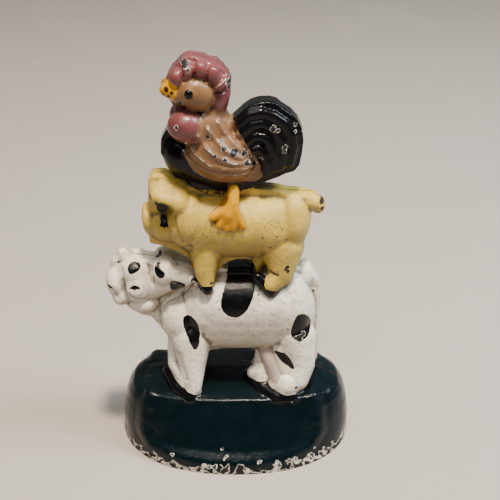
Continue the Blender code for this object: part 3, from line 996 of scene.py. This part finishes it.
# finish of each paint: roughness, shine, share of the casting's grain that shows through
PAINT_FINISH = {
    "cow": (0.38, 0.45, 1.0), "base": (0.15, 0.22, 0.6), "pig": (0.34, 0.28, 1.0),
    "black": (0.10, 0.20, 0.35), "udder": (0.4, 0.4, 0.6), "body": (0.18, 0.35, 0.4),
    "comb": (0.16, 0.35, 0.4), "face": (0.18, 0.3, 0.4), "beak": (0.3, 0.25, 0.5),
    "leg": (0.3, 0.2, 0.5), "ink": (0.12, 0.24, 0.6),
}
PRIMER = (0.70, 0.68, 0.63, 1.0)
SOILED_PRIMER = (0.30, 0.25, 0.20, 1.0)
BARE_IRON = (0.018, 0.016, 0.015, 1.0)
DARK_RUST = (0.030, 0.024, 0.020, 1.0)
WARM_RUST = (0.085, 0.042, 0.022, 1.0)
# colour of the darkening in the creases, in patches
CREASE_BROWN = (0.10, 0.075, 0.045, 1.0)
# colour of the painted shade on the undersides
UNDERSIDE_SHADE = (0.15, 0.105, 0.045, 1.0)
MOTTLE = (0.34, 0.26, 0.15, 1.0)
SPECK_AND_SHADE_BROWN = (0.028, 0.020, 0.014, 1.0)


def painted_iron(paints):
    """Brushed enamel over white primer over iron; each paint lies where its field is positive."""
    material = bpy.data.materials.new("painted_iron")
    tree = Tree(material)
    fine = tree.noise(0.9, 4.0, 0.6)
    wobble = tree.math("MULTIPLY", tree.math("SUBTRACT", tree.noise(3.0), 0.5), 1.0)
    wobble = tree.math("ADD", wobble, tree.math("MULTIPLY", tree.math("SUBTRACT", fine, 0.5), 0.35))
    patch = tree.noise(9.0)
    bulge = tree.attribute("bulge")
    same_pot = {"beak": "leg", "ink": "black"}
    colours = {name: tuple(getattr(paints, same_pot.get(name, name))) for name in PAINTS}
    tint = tree.ramp(patch, 0.3, 0.7)
    colour = tree.mix(tint, rgba(scaled(colours["cow"], 0.9)), rgba(scaled(colours["cow"], 1.06)))
    rough, shine, grain = PAINT_FINISH["cow"]
    pale = 1.0
    for name in PAINTS[1:]:
        edge = tree.math("ADD", tree.attribute("paint_" + name), wobble)
        cover = tree.ramp(edge, -0.12, 0.12)
        shade = tree.mix(tint, rgba(scaled(colours[name], 0.84)), rgba(scaled(colours[name], 1.12)))
        colour = tree.mix(cover, colour, shade)
        rough, shine, grain = (
            tree.blend(cover, below, above)
            for below, above in zip((rough, shine, grain), PAINT_FINISH[name])
        )
        pale = tree.blend(cover, pale, 1.0 if name == "pig" else 0.0)

    # on the cow and the pig: darker brown in the creases, in patches, painted shade on the undersides, and
    # mottling; then dark specks, the pig's ear hollow among them with painted shade
    # darker brown where the skin is hollow, in patches, on the cow and the pig
    crease = tree.ramp(tree.math("MULTIPLY", bulge, -1.0), 0.02, 0.16)
    crease_dark = tree.math("MULTIPLY", crease, tree.math("MULTIPLY", tree.ramp(patch, 0.2, 0.6), 0.9))
    colour = tree.mix(tree.math("MULTIPLY", crease_dark, pale), colour, CREASE_BROWN)
    # painted shade: the more a face looks down, the darker it is painted
    under = tree.math("MULTIPLY", tree.ramp(tree.attribute("under"), -0.25, 0.75), 0.62)
    colour = tree.mix(tree.math("MULTIPLY", under, pale), colour, UNDERSIDE_SHADE)
    mottle = tree.math("MULTIPLY", tree.ramp(tree.noise(2.4, 5.0, 0.7), 0.48, 0.68), 0.52)
    colour = tree.mix(tree.math("MULTIPLY", mottle, pale), colour, MOTTLE)
    fly = tree.ramp(tree.math("ADD", fine, tree.math("MULTIPLY", tree.noise(14.0), 0.4)), 0.84, 0.91)
    # dark brown specks, and the pig's ear hollow, which is partly painted shade
    spread = tree.math("ADD", tree.attribute("speck"), tree.math("MULTIPLY", wobble, 1.2))
    dot = tree.ramp(spread, -0.1, 0.15)
    dots = tree.math("MAXIMUM", tree.math("MULTIPLY", fly, tree.math("MULTIPLY", pale, 0.8)), dot)
    colour = tree.mix(dots, colour, SPECK_AND_SHADE_BROWN)

    # knocks: a broken rim of white primer round a spot of bare iron
    ragged = tree.math("MULTIPLY", tree.math("SUBTRACT", tree.noise(1.4, 4.0), 0.5), 2.2)
    chip = tree.math("ADD", tree.attribute("chip"), ragged)
    low = tree.height_mm()
    ripple = tree.math("MULTIPLY", tree.noise(7.0, 3.0, 0.55), 30.0)
    rim = tree.math("SUBTRACT", tree.math("SUBTRACT", ripple, 10.9), low)
    scrape = tree.math("MULTIPLY", tree.noise(3.4, 5.0, 0.7), 3.9)
    worn_edge = tree.math("SUBTRACT", tree.math("MULTIPLY", bulge, 7.0), scrape)
    broken = tree.ramp(tree.noise(1.2, 2.0), 0.40, 0.50)
    ring = tree.math("MULTIPLY", tree.ramp(chip, 0.0, 0.15), broken)
    primer = tree.math("MAXIMUM", ring, tree.ramp(rim, 0.0, 0.3))
    edge_wear = tree.math("MULTIPLY", tree.ramp(worn_edge, -0.2, 0.1), tree.math("SUBTRACT", 1.0, pale))
    white = tree.math("MAXIMUM", primer, edge_wear)
    soiled = tree.mix(tree.ramp(tree.noise(2.0, 4.0), 0.35, 0.7), PRIMER, SOILED_PRIMER)
    colour = tree.mix(white, colour, soiled)
    iron_chip = tree.ramp(tree.math("ADD", chip, tree.math("MULTIPLY", ragged, 0.4)), 0.30, 0.46)
    islands = tree.ramp(tree.noise(3.6, 3.0, 0.55), 0.46, 0.52)
    iron_rim = tree.math("MULTIPLY", tree.ramp(rim, 0.9, 1.5), islands)
    iron = tree.math("MAXIMUM", iron_chip, iron_rim)
    colour = tree.mix(iron, colour, BARE_IRON)
    rough = tree.blend(white, rough, 0.55)
    rough = tree.math("ADD", rough, tree.math("MULTIPLY", tree.math("SUBTRACT", patch, 0.5), 0.12))

    # the inside and the seam faces were never enamelled
    bare = tree.math("SUBTRACT", 1.0, tree.ramp(tree.attribute("skin"), 0.3, 0.7))
    rust = tree.mix(tree.ramp(tree.noise(6.0, 5.0, 0.6), 0.35, 0.65), DARK_RUST, WARM_RUST)
    colour = tree.mix(bare, colour, rust)
    rough = tree.blend(bare, rough, 0.78)
    tree.feed(tree.shader.inputs["Base Color"], colour)
    tree.feed(tree.shader.inputs["Roughness"], rough)
    tree.feed(tree.shader.inputs["Specular IOR Level"], shine)

    normal = tree.bump(tree.math("MULTIPLY", tree.noise(6.0, 2.0), grain), 1.0, 0.7)
    normal = tree.bump(tree.math("MULTIPLY", tree.noise(1.6, 5.0, 0.65), grain), 0.44, 0.85, normal)
    gone = tree.math("MULTIPLY", tree.math("MAXIMUM", primer, iron), -1.0)
    normal = tree.bump(gone, 0.22, 0.8, normal)
    tree.link(normal, tree.shader.inputs["Normal"])
    return material


def screw_iron():
    material = bpy.data.materials.new("screw_iron")
    tree = Tree(material)
    rust = tree.ramp(tree.noise(1.6, 5.0, 0.65), 0.42, 0.62)
    colour = tree.mix(rust, (0.09, 0.085, 0.08, 1.0), (0.16, 0.075, 0.03, 1.0))
    tree.feed(tree.shader.inputs["Base Color"], colour)
    tree.feed(tree.shader.inputs["Roughness"], tree.blend(rust, 0.38, 0.8))
    tree.shader.inputs["Metallic"].default_value = 0.7
    tree.link(tree.bump(tree.noise(0.5, 4.0), 0.08, 0.7), tree.shader.inputs["Normal"])
    return material


# ---------------------------------------------------------------- operators

class DOORSTOP_OT_castings(Operator):
    """Model and paint the two half castings"""

    bl_idname = "doorstop.castings"
    bl_label = "Half castings"

    def execute(self, context):
        scene = context.scene
        figure = model_outside(scene.doorstop_clay)
        if not len(figure.data.vertices):
            raise RuntimeError("the clay came out empty")
        mark_skin(figure.data)
        material = painted_iron(scene.doorstop_paint)
        hollows = hollow_tools()
        drills = screw_tools()
        for name, node, side in (("front_shell", "front_casting", -1), ("back_shell", "back_casting", 1)):
            half = cut_half(figure, name, side, hollows + drills)
            place_casting(half, node, material)
        for tool in hollows + drills + [figure]:
            remove_object(tool)
        return {"FINISHED"}


class DOORSTOP_OT_screws(Operator):
    """Give the screws their worn steel"""

    bl_idname = "doorstop.screws"
    bl_label = "Screws"

    def execute(self, context):
        material = screw_iron()
        for name in SCREW_PLACES:
            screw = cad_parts[name]
            screw.data.materials.clear()
            screw.data.materials.append(material)
        return {"FINISHED"}


# lamps: name, place and size in metres, power in watts, colour
LAMPS = (
    ("warm_lamp", (0.08, -0.24, 1.30), (0.13, 0.13), 29.0, (1.0, 0.84, 0.64)),
    ("cool_window", (0.85, -0.06, 1.20), (0.40, 0.55), 25.0, (0.78, 0.89, 1.0)),
    ("soft_top", (-0.35, 0.15, 2.0), (1.2, 1.0), 15.0, (1.0, 0.97, 0.92)),
    ("soft_front", (-0.55, -1.15, 2.1), (1.0, 0.8), 12.0, (1.0, 0.97, 0.92)),
)
LENS_MM = 72.0
SENSOR_MM = 36.0
CAMERA_X = 8.3


def area_lamp(name, place, target, size, power, colour):
    light = bpy.data.lights.new(name, "AREA")
    light.shape = "RECTANGLE"
    light.size, light.size_y = size
    light.energy = power
    light.color = colour
    lamp = bpy.data.objects.new(name, light)
    lamp.location = place
    direction = Vector(target) - Vector(place)
    lamp.rotation_euler = direction.to_track_quat("-Z", "Y").to_euler()
    bpy.context.scene.collection.objects.link(lamp)


def plain_floor(size):
    shape = bmesh.new()
    bmesh.ops.create_grid(shape, x_segments=8, y_segments=8, size=size / 2)
    floor = mesh_object(shape, "floor")
    material = bpy.data.materials.new("floor_pale")
    tree = Tree(material)
    tint = tree.mix(tree.noise(60.0), (0.40, 0.352, 0.322, 1.0), (0.425, 0.377, 0.346, 1.0))
    tree.feed(tree.shader.inputs["Base Color"], tint)
    tree.shader.inputs["Roughness"].default_value = 0.75
    floor.data.materials.append(material)


def studio_world():
    """A dim grey-green room, darkest on the near side."""
    world = bpy.data.worlds.new("studio")
    world.use_nodes = True
    tree = world.node_tree
    place = tree.nodes.new("ShaderNodeTexCoord")
    split = tree.nodes.new("ShaderNodeSeparateXYZ")
    ramp = tree.nodes.new("ShaderNodeMapRange")
    ramp.inputs["From Min"].default_value = -0.9
    ramp.inputs["From Max"].default_value = 0.7
    ramp.inputs["To Min"].default_value = 0.07
    ramp.inputs["To Max"].default_value = 0.42
    tree.links.new(place.outputs["Generated"], split.inputs[0])
    tree.links.new(split.outputs["Y"], ramp.inputs["Value"])
    background = tree.nodes["Background"]
    background.inputs["Color"].default_value = (0.43, 0.47, 0.46, 1.0)
    tree.links.new(ramp.outputs["Result"], background.inputs["Strength"])
    return world


class DOORSTOP_OT_stage(Operator):
    """Set up the floor, lamps, sky and camera"""

    bl_idname = "doorstop.stage"
    bl_label = "Stage"

    def execute(self, context):
        scene = context.scene
        stage = scene.doorstop_stage
        plain_floor(stage.floor_size)
        centre = (FIGURE_X * MM, 0.0, 0.11)
        for name, place, size, power, colour in LAMPS:
            area_lamp(name, place, centre, size, power, colour)
        scene.world = studio_world()
        lens = bpy.data.cameras.new("camera")
        lens.lens = LENS_MM
        lens.sensor_width = SENSOR_MM
        lens.clip_start = 0.01
        camera = bpy.data.objects.new("camera", lens)
        camera.location = ((CAMERA_X + FIGURE_X) * MM, -stage.camera_distance, stage.camera_height)
        camera.rotation_euler = (math.radians(90) - stage.camera_tilt, 0.0, 0.0)
        scene.collection.objects.link(camera)
        scene.camera = camera
        return {"FINISHED"}


class DOORSTOP_PT_panel(Panel):
    """The doorstop's pieces"""

    bl_label = "Doorstop"
    bl_idname = "DOORSTOP_PT_panel"
    bl_space_type = "VIEW_3D"
    bl_region_type = "UI"
    bl_category = "Doorstop"

    def draw(self, context):
        column = self.layout.column()
        for operator in OPERATORS:
            column.operator(operator.bl_idname)


OPERATORS = (DOORSTOP_OT_castings, DOORSTOP_OT_screws, DOORSTOP_OT_stage)
CLASSES = (DoorstopClay, DoorstopPaint, DoorstopStage, *OPERATORS, DOORSTOP_PT_panel)


def register():
    for kind in CLASSES:
        bpy.utils.register_class(kind)
    bpy.types.Scene.doorstop_clay = PointerProperty(type=DoorstopClay)
    bpy.types.Scene.doorstop_paint = PointerProperty(type=DoorstopPaint)
    bpy.types.Scene.doorstop_stage = PointerProperty(type=DoorstopStage)


def unregister():
    del bpy.types.Scene.doorstop_stage
    del bpy.types.Scene.doorstop_paint
    del bpy.types.Scene.doorstop_clay
    for kind in reversed(CLASSES):
        bpy.utils.unregister_class(kind)


def main():
    register()
    bpy.ops.doorstop.castings()
    bpy.ops.doorstop.screws()
    bpy.ops.doorstop.stage()
    bpy.context.view_layer.update()


if __name__ == "__main__":
    main()
